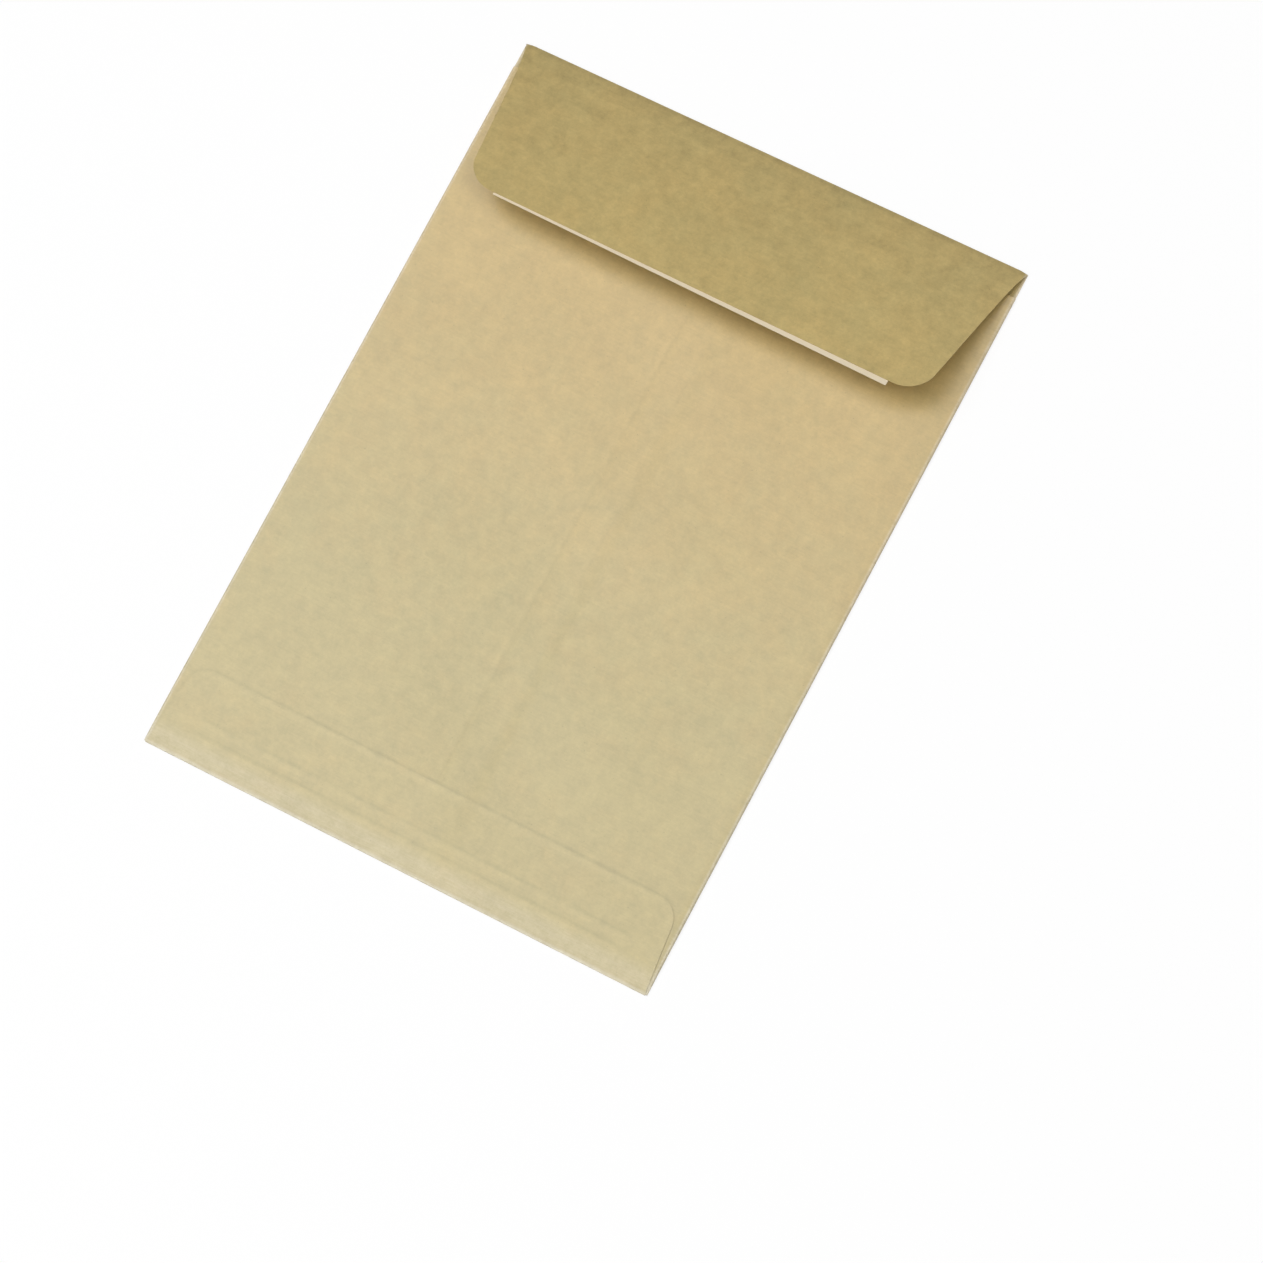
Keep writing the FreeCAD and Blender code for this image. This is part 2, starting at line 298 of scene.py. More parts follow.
def paperGroup(grain):
    tree = bpy.data.node_groups.new("paperTexture", "ShaderNodeTree")
    numberSockets(tree, grain["sizes"], ("Cloud", "Formation", "Fibre", "Tint", "Speck", "Height"))
    nodes, links = tree.nodes, tree.links
    given = nodes.new("NodeGroupInput")
    result = nodes.new("NodeGroupOutput")
    place = nodes.new("ShaderNodeTexCoord").outputs["Object"]

    def cloud(size, kind, stretch=None):
        scale = mathNode(tree, "DIVIDE", 1 / mm, size)
        vector = vectorNode(tree, "SCALE", place, scale=scale)
        if stretch is not None:
            ratio = mathNode(tree, "DIVIDE", size, stretch)
            combine = nodes.new("ShaderNodeCombineXYZ")
            feed(tree, combine.inputs, (ratio, 1.0, 1.0))
            vector = vectorNode(tree, "MULTIPLY", vector, combine.outputs[0])
        texture = nodes.new("ShaderNodeTexNoise")
        feed(tree, [texture.inputs["Vector"]], (vector,))
        texture.inputs["Scale"].default_value = 1
        for socket, value in grain[kind].items():
            texture.inputs[socket].default_value = value
        return texture.outputs["Fac"]

    slow = cloud(given.outputs["Cloud Size"], "cloud")
    formation = cloud(given.outputs["Formation Size"], "formation")
    fibre = cloud(given.outputs["Fibre Width"], "fibre", given.outputs["Fibre Length"])
    tint = cloud(given.outputs["Tint Size"], "tint")
    cells = nodes.new("ShaderNodeTexVoronoi")
    speckScale = mathNode(tree, "DIVIDE", 1 / mm, given.outputs["Speck Size"])
    feed(tree, [cells.inputs["Vector"]], (vectorNode(tree, "SCALE", place, scale=speckScale),))
    cells.inputs["Scale"].default_value = 1
    pick = nodes.new("ShaderNodeSeparateColor")
    links.new(cells.outputs["Color"], pick.inputs[0])
    chosen = mathNode(tree, "LESS_THAN", pick.outputs[0], given.outputs["Speck Share"])
    near = mathNode(tree, "LESS_THAN", cells.outputs["Distance"], grain["speckRadius"])
    speck = mathNode(tree, "MULTIPLY", chosen, near)
    relief = mathNode(tree, "MULTIPLY_ADD", formation, grain["formationHeight"], fibre)
    for source, socket in zip((slow, formation, fibre, tint, speck, relief), result.inputs):
        links.new(source, socket)
    return tree


# A painted line of shade with a painted highlight beside it, the light and shade that a pressed line or
# cut edge would show, uneven along its length
lineShape = {
    "values": {
        "Away": 0.0,
        "Along": 0.0,
        "Depth": 0.05,
        "Light": 0.6,
        "Width": 0.55,
        "Broken": 0.5,
        "Seed": 0.0,
    },
    "unevenness": 0.07,  # how fast the strength changes, for each millimetre along the line
    "detail": 3,
    "swing": 6.0,
    "lightAway": 1.5,  # millimetres from the dark line, below it or left of it
    "lightWidth": 0.8,
}


def lineGroup(shape):
    tree = bpy.data.node_groups.new("paintedShadeLine", "ShaderNodeTree")
    numberSockets(tree, shape["values"], ["Tone"])
    nodes, links = tree.nodes, tree.links
    given = nodes.new("NodeGroupInput").outputs

    def ridge(shift, spread):
        away = mathNode(tree, "DIVIDE", mathNode(tree, "ADD", given["Away"], shift), spread)
        squared = mathNode(tree, "MULTIPLY", away, away)
        return mathNode(tree, "EXPONENT", mathNode(tree, "MULTIPLY", squared, -1.0))

    spot = nodes.new("ShaderNodeCombineXYZ")
    run = mathNode(tree, "MULTIPLY", given["Along"], shape["unevenness"])
    feed(tree, spot.inputs, (run, given["Seed"]))
    uneven = nodes.new("ShaderNodeTexNoise")
    links.new(spot.outputs[0], uneven.inputs["Vector"])
    uneven.inputs["Scale"].default_value = 1
    uneven.inputs["Detail"].default_value = shape["detail"]
    swing = mathNode(tree, "MULTIPLY_ADD", uneven.outputs["Fac"], shape["swing"], -shape["swing"] / 2)
    swing = mathNode(tree, "MULTIPLY", swing, given["Broken"])
    strength = mathNode(tree, "MAXIMUM", mathNode(tree, "ADD", swing, 1.0), 0.0)
    dark = ridge(0.0, given["Width"])
    light = mathNode(tree, "MULTIPLY", ridge(shape["lightAway"], shape["lightWidth"]), given["Light"])
    both = mathNode(tree, "MULTIPLY", mathNode(tree, "SUBTRACT", light, dark), given["Depth"])
    links.new(mathNode(tree, "MULTIPLY", both, strength), nodes.new("NodeGroupOutput").inputs[0])
    return tree


# Materials. Lengths are in millimetres, and a swing is how far something goes either way.
kraftLook = {
    "cool": (0.470, 0.386, 0.166),
    "warm": (0.530, 0.390, 0.154),
    "warmFrom": (45, 175),  # the back is cool below the first height and warm above the second
    "warmFlap": 0.6,  # how warm the flap and the front panel are
    "tintSwing": 0.55,
    "cloudSwing": 0.055,
    "formationSwing": 0.28,
    "fibreSwing": 0.08,
    "speckDepth": 0.16,
    "roughness": 0.34,
    "glossSwing": 0.04,
    "specular": 0.7,
    "bump": 0.012,
    # Painted shade lines, each with a painted highlight beside it, where the creases, cut edges and top
    # fold would catch light and shade
    "lines": {
        "lowerCrease": {"Depth": 0.075, "Broken": 0.3},
        "upperCrease": {"Depth": 0.07, "Broken": 0.7},
        "flapEdge": {"Depth": 0.10, "Broken": 0.3, "Light": 0.4},
        "seamEdge": {"Depth": 0.04, "Broken": 0.6, "Width": 0.65},
        "hiddenEdge": {"Depth": 0.02, "Broken": 0.5},
        "topFold": {"Depth": 0.12, "Broken": 0.1, "Light": 0.0, "Width": 0.9},
    },
    "flapShadeStart": -0.07,  # the flap's painted shade at its fold
    # Painted shade on the flap: where it starts and ends to change, down from its fold, and by how much
    "flapShadeSteps": [(5.4, 6.5, 0.065), (7.0, 11.3, -0.045), (11.8, 12.7, 0.045), (14.0, 46.0, 0.055)],
    "flapGrain": 0.13,  # what the flap has on top of the formation's swing
    "flapHeights": (0.6, 1.2),  # between these heights the front panel turns into the flap
    "creaseFade": 8.0,
    "seamFade": 1.0,
    "flapEdgeFade": (1.0, -5.0),  # from where the bottom flap's corner starts, to its full line
    "flapEdgeEnds": 0.5,  # the line's share that is left past its corners
    "flapEdgeOut": 0.15,
    "topFoldDown": 0.5,
    "seedStep": 5.3,
    # A pale colour mixed in as a painted sheen along the bottom band and as a painted highlight along
    # the envelope's edges
    "sheenColor": (0.95, 0.93, 0.88),
    "sheenGrain": {"Fibre": 1.4, "Formation": 2.0},
    "bandSheen": 0.095,
    "bandFull": 3.5,
    "rimSheen": 0.25,
    "rimSheenWidth": (1.3, 0.1),  # where it starts and is full, in from the edge
    "grain": {
        "Cloud Size": 28.0,
        "Formation Size": 4.2,
        "Fibre Length": 6.0,
        "Fibre Width": 0.45,
        "Tint Size": 15.0,
    },
}
linerLook = {
    "cool": (0.79, 0.69, 0.52),
    "warm": (0.81, 0.69, 0.48),
    "warmShare": 0.5,
    "tintSwing": 0.3,
    "cloudSwing": 0.015,
    "formationSwing": 0.06,
    "fibreSwing": 0.03,
    "speckDepth": 0.0,
    "roughness": 0.34,
    "glossSwing": 0.04,
    "specular": 0.5,
    "bump": 0.004,
    "grain": {"Cloud Size": 30.0, "Formation Size": 5.0, "Fibre Length": 3.0, "Fibre Width": 0.3},
}


def fade(tree, value, start, end):
    # 0 at start, 1 at end, smooth between them
    ramp = tree.nodes.new("ShaderNodeMapRange")
    ramp.interpolation_type = "SMOOTHSTEP"
    feed(tree, ramp.inputs, (value, start, end))
    return ramp.outputs[0]


def flapDistance(tree, side, up, sizes):
    # How far a point of the back lies beyond the rounded outline of the bottom flap
    taper, corner = math.radians(sizes["bottomFlapTaper"]), sizes["bottomFlapCorner"]
    centreUp = sizes["bottomFlapDepth"] - corner
    run = centreUp - (height / 2 - folds["bottom"]["start"])
    centreSide = folds["side"]["start"] - run * math.tan(taper) - corner / math.cos(taper)
    out = mathNode(tree, "SUBTRACT", side, centreSide)
    above = mathNode(tree, "SUBTRACT", up, centreUp)
    slant = mathNode(tree, "MULTIPLY_ADD", out, math.cos(taper), -corner)
    slant = mathNode(tree, "MULTIPLY_ADD", above, math.sin(taper), slant)
    far = nodeLength(tree, mathNode(tree, "MAXIMUM", out, 0.0), mathNode(tree, "MAXIMUM", above, 0.0))
    turned = mathNode(tree, "SUBTRACT", mathNode(tree, "SUBTRACT", far, corner), slant)
    return mathNode(tree, "MULTIPLY_ADD", turned, mathNode(tree, "GREATER_THAN", above, 0.0), slant)


def nodeLength(tree, first, second):
    squares = mathNode(tree, "MULTIPLY_ADD", first, first, mathNode(tree, "MULTIPLY", second, second))
    return mathNode(tree, "SQRT", squares)


def readBack(tree):
    mark = tree.nodes.new("ShaderNodeAttribute")
    mark.attribute_name = "back"
    return mark.outputs["Fac"]


def envelopePaintedShading(tree, sizes, look, lineTree):
    # Painted light and shade on the kraft: shade lines with painted highlights at the creases, cut
    # edges and top fold, painted shade on the flap, and a painted sheen along the bottom band and the
    # edges. Also gives how warm the paper is and where the flap is.
    split = tree.nodes.new("ShaderNodeSeparateXYZ")
    place = tree.nodes.new("ShaderNodeTexCoord").outputs["Object"]
    tree.links.new(vectorNode(tree, "SCALE", place, scale=1 / mm), split.inputs[0])
    x, up = split.outputs["X"], mathNode(tree, "ADD", split.outputs["Y"], height / 2)
    side = mathNode(tree, "ABSOLUTE", x)
    back = readBack(tree)
    beyond = flapDistance(tree, side, up, sizes)
    creaseEnd = width / 2 - sizes["creaseEnd"]
    creased = fade(tree, side, creaseEnd, creaseEnd - look["creaseFade"])
    creased = mathNode(tree, "MULTIPLY", back, creased)
    seamed = mathNode(tree, "MULTIPLY", back, fade(tree, beyond, 0.0, look["seamFade"]))
    corner = width / 2 - sizes["bottomFlapCorner"]
    edged = fade(tree, side, *(corner + away for away in look["flapEdgeFade"]))
    edged = mathNode(tree, "MULTIPLY_ADD", edged, 1 - look["flapEdgeEnds"], look["flapEdgeEnds"])
    edged = mathNode(tree, "MULTIPLY", back, edged)
    # Each line is painted shade with a painted highlight beside it
    lines = {  # where each line lies, what it runs along and where it shows
        "lowerCrease": (up, sizes["lowerCrease"], x, creased),
        "upperCrease": (up, sizes["upperCrease"], x, creased),
        "flapEdge": (beyond, look["flapEdgeOut"], x, edged),
        "seamEdge": (x, sizes["seamEdge"], up, seamed),
        "hiddenEdge": (x, sizes["seamEdge"] + sizes["seamOverlap"], up, seamed),
        "topFold": (up, height - look["topFoldDown"], x, 1.0),
    }
    shift = 0.0
    for number, (name, (across, middle, along, where)) in enumerate(lines.items()):
        line = tree.nodes.new("ShaderNodeGroup")
        line.node_tree = lineTree
        away = mathNode(tree, "SUBTRACT", across, middle)
        feed(tree, (line.inputs["Away"], line.inputs["Along"]), (away, along))
        line.inputs["Seed"].default_value = number * look["seedStep"]
        for socket, value in look["lines"][name].items():
            line.inputs[socket].default_value = value
        shift = mathNode(tree, "MULTIPLY_ADD", line.outputs[0], where, shift)
    flap = mathNode(tree, "SUBTRACT", fade(tree, split.outputs["Z"], *look["flapHeights"]), back)
    flap = mathNode(tree, "MAXIMUM", flap, 0.0)
    # Painted shade on the flap, darker next to its fold and changing down from it
    down = mathNode(tree, "SUBTRACT", height, up)
    tone = look["flapShadeStart"]
    for start, end, change in look["flapShadeSteps"]:
        tone = mathNode(tree, "MULTIPLY_ADD", fade(tree, down, start, end), change, tone)
    shift = mathNode(tree, "MULTIPLY_ADD", tone, flap, shift)
    # Painted sheen: lighter along the bottom band of the back and in a rim along the edges
    band = fade(tree, up, sizes["lowerCrease"], look["bandFull"])
    band = mathNode(tree, "MULTIPLY", band, look["bandSheen"])
    inside = mathNode(tree, "MINIMUM", mathNode(tree, "SUBTRACT", width / 2, side), up)
    rim = mathNode(tree, "MULTIPLY", fade(tree, inside, *look["rimSheenWidth"]), look["rimSheen"])
    paintedSheen = mathNode(tree, "MULTIPLY_ADD", band, back, rim)
    warm = mathNode(tree, "SUBTRACT", fade(tree, up, *look["warmFrom"]), look["warmFlap"])
    warm = mathNode(tree, "MULTIPLY_ADD", warm, back, look["warmFlap"])
    return shift, paintedSheen, warm, flap


def mixColors(tree, share, first, second):
    # The colour sockets are taken by number, because other kinds have the same names
    mix = tree.nodes.new("ShaderNodeMix")
    mix.data_type = "RGBA"
    mix.clamp_factor = True
    feed(tree, (mix.inputs[0], mix.inputs[6], mix.inputs[7]), (share, first, second))
    return mix.outputs[2]


def addBump(tree, shader, source, depth):
    bump = tree.nodes.new("ShaderNodeBump")
    bump.inputs["Distance"].default_value = depth * mm
    tree.links.new(source, bump.inputs["Height"])
    tree.links.new(bump.outputs["Normal"], shader.inputs["Normal"])


def paperMaterial(name, group, look, marks=None):
    material = bpy.data.materials.new(name)
    material.use_nodes = True
    tree = material.node_tree
    paper = tree.nodes["Principled BSDF"]
    texture = tree.nodes.new("ShaderNodeGroup")
    texture.node_tree = group
    for socket, value in look["grain"].items():
        texture.inputs[socket].default_value = value
    # The marks are painted light and shade, with the paper's warmth and where the flap is
    shift, paintedSheen, warm, flap = marks(tree, look) if marks else (0.0, None, look["warmShare"], None)
    for part in ("Cloud", "Formation", "Fibre"):
        swing = look[f"{part.lower()}Swing"]
        shift = mathNode(tree, "MULTIPLY_ADD", texture.outputs[part], swing * 2, shift)
        shift = mathNode(tree, "SUBTRACT", shift, swing)
    shift = mathNode(tree, "MULTIPLY_ADD", texture.outputs["Speck"], -look["speckDepth"], shift)
    if flap is not None:
        stronger = mathNode(tree, "MULTIPLY_ADD", texture.outputs["Formation"], 2.0, -1.0)
        stronger = mathNode(tree, "MULTIPLY", stronger, flap)
        shift = mathNode(tree, "MULTIPLY_ADD", stronger, look["flapGrain"], shift)
    swing = look["tintSwing"]
    tint = mathNode(tree, "MULTIPLY_ADD", texture.outputs["Tint"], swing * 2, -swing)
    share = mathNode(tree, "ADD", tint, warm)
    color = mixColors(tree, share, (*look["cool"], 1), (*look["warm"], 1))
    color = vectorNode(tree, "SCALE", color, scale=mathNode(tree, "ADD", shift, 1.0))
    # Mixes the painted sheen's pale colour into the paper
    if paintedSheen is not None:
        fibreSheen, formationSheen = look["sheenGrain"]["Fibre"], look["sheenGrain"]["Formation"]
        grainy = mathNode(tree, "MULTIPLY_ADD", texture.outputs["Fibre"], fibreSheen, -fibreSheen / 2)
        grainy = mathNode(tree, "MULTIPLY_ADD", texture.outputs["Formation"], formationSheen, grainy)
        color = mixColors(tree, mathNode(tree, "MULTIPLY", paintedSheen, grainy), color, (*look["sheenColor"], 1))
    tree.links.new(color, paper.inputs["Base Color"])
    formation, swing = texture.outputs["Formation"], look["glossSwing"]
    gloss = mathNode(tree, "MULTIPLY_ADD", formation, swing * 2, look["roughness"] - swing)
    tree.links.new(gloss, paper.inputs["Roughness"])
    paper.inputs["Specular IOR Level"].default_value = look["specular"]
    addBump(tree, paper, texture.outputs["Height"], look["bump"])
    return material


adhesiveLook = {"color": (0.70, 0.60, 0.38, 1), "roughness": 0.22, "ripple": 1.4, "bump": 0.03}


def adhesiveMaterial(look):
    material = bpy.data.materials.new("adhesive")
    material.use_nodes = True
    tree = material.node_tree
    nodes, links = tree.nodes, tree.links
    glue = nodes["Principled BSDF"]
    glue.inputs["Base Color"].default_value = look["color"]
    glue.inputs["Roughness"].default_value = look["roughness"]
    ripples = nodes.new("ShaderNodeTexNoise")
    ripples.inputs["Scale"].default_value = 1 / (look["ripple"] * mm)
    links.new(nodes.new("ShaderNodeTexCoord").outputs["Object"], ripples.inputs["Vector"])
    addBump(tree, glue, ripples.outputs["Fac"], look["bump"])
    return material


paperTexture = paperGroup(paperGrain)
paintedShadeLine = lineGroup(lineShape)


def kraftPaintedShading(tree, look):
    return envelopePaintedShading(tree, envelope, look, paintedShadeLine)


kraft = paperMaterial("kraftPaper", paperTexture, kraftLook, kraftPaintedShading)
linerPaper = paperMaterial("linerPaper", paperTexture, linerLook)
adhesive = adhesiveMaterial(adhesiveLook)
print("Materials mixed")


# Geometry nodes: whatever lies past a line of the flat sheet is rolled up over it and runs on straight
foldInputs = {
    "Sheet": "NodeSocketGeometry",
    "Line": "NodeSocketVector",  # a point on the line
    "Away": "NodeSocketVector",  # the way that leads past it
    "Radius": "NodeSocketFloat",
    "Turn": "NodeSocketFloat",
    "Twist": "NodeSocketFloat",  # how much more it turns for each metre along the line
    "Paper": "NodeSocketMaterial",
}


def foldTree():
    tree = bpy.data.node_groups.new("foldSheet", "GeometryNodeTree")
    tree.is_modifier = True
    for name, kind in foldInputs.items():
        tree.interface.new_socket(name=name, in_out="INPUT", socket_type=kind)
    tree.interface.new_socket(name="Folded", in_out="OUTPUT", socket_type="NodeSocketGeometry")
    nodes, links = tree.nodes, tree.links
    given = nodes.new("NodeGroupInput").outputs
    place = nodes.new("GeometryNodeInputPosition").outputs[0]
    fromLine = vectorNode(tree, "SUBTRACT", place, given["Line"])
    alongLine = vectorNode(tree, "CROSS_PRODUCT", given["Away"], (0, 0, 1))
    along = vectorNode(tree, "DOT_PRODUCT", fromLine, alongLine)
    radius, turn = given["Radius"], mathNode(tree, "MULTIPLY_ADD", along, given["Twist"], given["Turn"])
    past = vectorNode(tree, "DOT_PRODUCT", fromLine, given["Away"])
    split = nodes.new("ShaderNodeSeparateXYZ")
    links.new(fromLine, split.inputs[0])
    level = split.outputs["Z"]
    angle = mathNode(tree, "MAXIMUM", mathNode(tree, "DIVIDE", past, radius), 0.0)
    angle = mathNode(tree, "MINIMUM", angle, turn)
    arm = mathNode(tree, "SUBTRACT", radius, level)
    arc = mathNode(tree, "MULTIPLY", radius, turn)
    straight = mathNode(tree, "MAXIMUM", mathNode(tree, "SUBTRACT", past, arc), 0.0)
    before = mathNode(tree, "MINIMUM", past, 0.0)
    roundPart = mathNode(tree, "MULTIPLY_ADD", arm, mathNode(tree, "SINE", angle), before)
    reach = mathNode(tree, "MULTIPLY_ADD", straight, mathNode(tree, "COSINE", turn), roundPart)
    drop = mathNode(tree, "MULTIPLY", arm, mathNode(tree, "COSINE", angle))
    drop = mathNode(tree, "SUBTRACT", radius, drop)
    rise = mathNode(tree, "MULTIPLY_ADD", straight, mathNode(tree, "SINE", turn), drop)
    sideways = vectorNode(tree, "SCALE", given["Away"], scale=mathNode(tree, "SUBTRACT", reach, past))
    upward = nodes.new("ShaderNodeCombineXYZ")
    links.new(mathNode(tree, "SUBTRACT", rise, level), upward.inputs["Z"])
    move = nodes.new("GeometryNodeSetPosition")
    links.new(given["Sheet"], move.inputs["Geometry"])
    links.new(vectorNode(tree, "ADD", sideways, upward.outputs[0]), move.inputs["Offset"])
    realize = nodes.new("GeometryNodeRealizeInstances")
    links.new(move.outputs[0], realize.inputs[0])
    dress = nodes.new("GeometryNodeSetMaterial")
    links.new(realize.outputs[0], dress.inputs["Geometry"])
    links.new(given["Paper"], dress.inputs["Material"])
    links.new(dress.outputs[0], nodes.new("NodeGroupOutput").inputs[0])
    return tree


foldSheet = foldTree()


def addFold(piece, name, line, away, radius, turn, material, twist=0.0):
    modifier = piece.modifiers.new(name, "NODES")
    modifier.node_group = foldSheet
    given = {"Line": line, "Away": away, "Radius": radius, "Turn": turn, "Twist": twist}
    given["Paper"] = material
    for item in foldSheet.interface.items_tree:
        if item.in_out == "INPUT" and item.name in given:
            modifier[item.identifier] = given[item.name]


def plainMesh(piece):
    # Turns what the modifiers make into the piece's own mesh
    evaluated = piece.evaluated_get(bpy.context.evaluated_depsgraph_get())
    mesh = bpy.data.meshes.new_from_object(evaluated)
    piece.modifiers.clear()
    piece.data = mesh
    return mesh


sharpAngle = 35  # degrees between two faces, past which the edge looks sharp


def thicken(piece, thickness):
    solidify = piece.modifiers.new("thickness", "SOLIDIFY")
    solidify.thickness = thickness * mm
    solidify.offset = 0
    solidify.use_even_offset = True
    mesh = plainMesh(piece)
    mesh.shade_smooth()
    mesh.set_sharp_from_angle(angle=math.radians(sharpAngle))


def steps(start, end, longest):
    # Even steps from start up to, but without, end
    count = max(1, math.ceil(abs(end - start) / longest))
    return [start + (end - start) * number / count for number in range(count)]


def smooth(value, low, high):
    share = min(1, max(0, (value - low) / (high - low)))
    return share * share * (3 - 2 * share)


# The envelope: one flat blank of kraft, folded at its sides, bottom and top
cornerStep = 5  # degrees, the longest step round a flap's corner


def flapRows(depth, taper, corner, start, cell, shoulder=0.0, run=1.0):
    # Distances from the fold and half widths of a flap with slanted sides and round corners, that
    # is wider at the fold by the shoulder
    slope = math.tan(math.radians(taper))
    centre = depth - corner
    inward = start - centre * slope - corner / math.cos(math.radians(taper))
    roundStart = centre + corner * math.sin(math.radians(taper))
    rows = []
    for s in steps(0, roundStart, cell)[1:]:
        rows.append((s, start - s * slope + shoulder * math.exp(-s / run)))
    for angle in steps(taper, 90, cornerStep) + [90]:
        turned = math.radians(angle)
        rows.append((centre + corner * math.sin(turned), inward + corner * math.cos(turned)))
    return rows


def blankColumns(sizes):
    # Places across the blank, from the left back panel's edge to the right one's
    side = folds["side"]
    flat, arc = side["start"], side["arc"]
    ramp = sizes["seamEdge"] + sizes["seamOverlap"]
    leftEnd = -(flat + arc + flat + ramp)
    rampOuter = flat + arc + flat - ramp - sizes["seamRamp"]
    rampInner = rampOuter + sizes["seamRamp"]
    rightEnd = flat + arc + flat - sizes["seamEdge"]
    cell, foldCell = sizes["cell"], arc / sizes["foldSteps"]
    columns = steps(leftEnd, -flat - arc, cell) + steps(-flat - arc, -flat, foldCell)
    columns += steps(-flat, flat, cell) + steps(flat, flat + arc, foldCell)
    columns += steps(flat + arc, rampOuter, cell) + steps(rampOuter, rampInner, sizes["rampCell"])
    return columns + steps(rampInner, rightEnd, sizes["overlapCell"]) + [rightEnd]


def blankRows(sizes):
    # Places up the blank, from the bottom fold to the pocket's mouth, close together at the creases
    bottom, mouth = -height / 2, height / 2 - sizes["mouthDrop"]
    reach = sizes["creaseWidth"] * 2
    creaseLow = bottom + sizes["lowerCrease"] - reach
    creaseHigh = bottom + sizes["upperCrease"] + reach
    rows = steps(-folds["bottom"]["start"], creaseLow, sizes["lowCell"])
    rows += steps(creaseLow, creaseHigh, sizes["creaseCell"])
    return rows + steps(creaseHigh, mouth, sizes["cell"]) + [mouth]


def seamLift(x, sizes):
    # From 0 to 1 where a layer climbs over the centre seam
    low, high = sizes["seamEdge"], sizes["seamEdge"] + sizes["seamOverlap"]
    return min(smooth(x, low - sizes["seamRamp"], low), 1 - smooth(x, high, high + sizes["seamRamp"]))


farAway = 99  # millimetres from a cut edge, more than its lift reaches
rounding = 1e-6  # millimetres


def makeBlank(sizes):
    # The flat sheet. "layer" counts the sheets under a point, "fullRise" is its fold's height, and
    # "lift" is how far it stands up near a cut edge.
    half = sizes["thickness"] / 2
    side, bottom, top = folds["side"], folds["bottom"], folds["top"]
    flat, backStart = side["start"], side["start"] + side["arc"]
    columns, rows = blankColumns(sizes), blankRows(sizes)
    points, faces, layers, rises, lifts = [], [], [], [], []

    def addPoint(u, v, layer, rise, fromEdge=farAway):
        points.append((u * mm, v * mm, half * mm))
        layers.append(layer)
        rises.append(rise * mm)
        lifts.append(sizes["edgeLift"] * mm * max(0, 1 - fromEdge / sizes["edgeReach"]) ** 2)
        return len(points) - 1

    def join(first, second):
        for number in range(len(first) - 1):
            faces.append((first[number], first[number + 1], second[number + 1], second[number]))

    def panelPoint(u, v):
        if abs(u) <= flat:
            return addPoint(u, v, 0, 0)
        x, seam = flat + backStart - u, sizes["seamEdge"]
        over = u > 0 and x < seam + sizes["seamOverlap"] + sizes["seamRamp"]
        layer = 1 + (seamLift(max(x, seam), sizes) if over else 0)
        return addPoint(u, v, layer, side["radius"] * 2, columns[-1] - u)

    lines = [[panelPoint(u, v) for u in columns] for v in rows]
    for first, second in zip(lines, lines[1:]):
        join(first, second)
    inner = [number for number, u in enumerate(columns) if abs(u) <= flat + rounding]
    across = [columns[number] / flat for number in inner]

    # The front panel past the mouth, the round of the top fold and the top flap
    line = [lines[-1][number] for number in inner]
    mouth, foldStart, foldEnd = rows[-1], top["start"], top["start"] + top["arc"]
    firstRow, secondRow = (mouth + away for away in sizes["mouthRows"])
    upRows = [firstRow] + steps(secondRow, foldStart, sizes["cell"])
    upRows += steps(foldStart, foldEnd, top["arc"] / sizes["topFoldSteps"]) + [foldEnd]
    depth, taper, corner = sizes["flapDepth"], sizes["flapTaper"], sizes["flapCorner"]
    inset, run, cell = sizes["flapInset"], sizes["shoulderRun"], sizes["flapCell"]
    flap = flapRows(depth, taper, corner, width / 2 - inset, cell, inset, run)
    upper = [(v, width / 2) for v in upRows] + [(foldEnd + s, reach) for s, reach in flap]
    for v, reach in upper:
        nextLine = [addPoint(share * reach, v, 0, 0) for share in across]
        join(line, nextLine)
        line = nextLine

    # The round of the bottom fold and the bottom flap
    line = [lines[0][number] for number in inner]
    foldStart, foldEnd = -bottom["start"], -bottom["start"] - bottom["arc"]
    downRows = steps(foldStart, foldEnd, bottom["arc"] / sizes["foldSteps"])[1:] + [foldEnd]
    depth = sizes["bottomFlapDepth"] - (height / 2 - bottom["start"])
    taper, corner, cell = sizes["bottomFlapTaper"], sizes["bottomFlapCorner"], sizes["bottomFlapCell"]
    flap = flapRows(depth, taper, corner, flat, cell)
    lower = [(v, flat) for v in downRows] + [(foldEnd - s, reach) for s, reach in flap]
    for v, reach in lower:
        nextLine = []
        for share in across:
            x = share * reach
            fromSide = farAway if v > foldEnd else reach - abs(x) + sizes["slantedEdge"]
            fromEdge = min(v - lower[-1][0], fromSide)
            layer = 2 + seamLift(x, sizes)
            nextLine.append(addPoint(x, v, layer, bottom["radius"] * 2, fromEdge))
        join(nextLine, line)
        line = nextLine

    mesh = bpy.data.meshes.new("kraftEnvelope")
    mesh.from_pydata(points, [], faces)
    for name, values in (("layer", layers), ("fullRise", rises), ("lift", lifts)):
        mesh.attributes.new(name, "FLOAT", "POINT").data.foreach_set("value", values)
    return addObject("kraftEnvelope", mesh)


def foldFlap(piece, material):
    top = folds["top"]
    line = (0, top["start"] * mm, envelope["thickness"] / 2 * mm)
    twist = math.radians(envelope["flapTwist"]) / (width / 2 * mm)
    addFold(piece, "topFold", line, (0, 1, 0), top["radius"] * mm, top["turn"], material, twist)


def foldBlank(piece, sizes, material):
    half = sizes["thickness"] / 2 * mm
    side, bottom = folds["side"], folds["bottom"]
    reach, radius = side["start"] * mm, side["radius"] * mm
    addFold(piece, "leftFold", (-reach, 0, half), (-1, 0, 0), radius, side["turn"], material)
    addFold(piece, "rightFold", (reach, 0, half), (1, 0, 0), radius, side["turn"], material)
    low = (0, -bottom["start"] * mm, half)
    addFold(piece, "bottomFold", low, (0, -1, 0), bottom["radius"] * mm, bottom["turn"], material)
    foldFlap(piece, material)
    return plainMesh(piece)


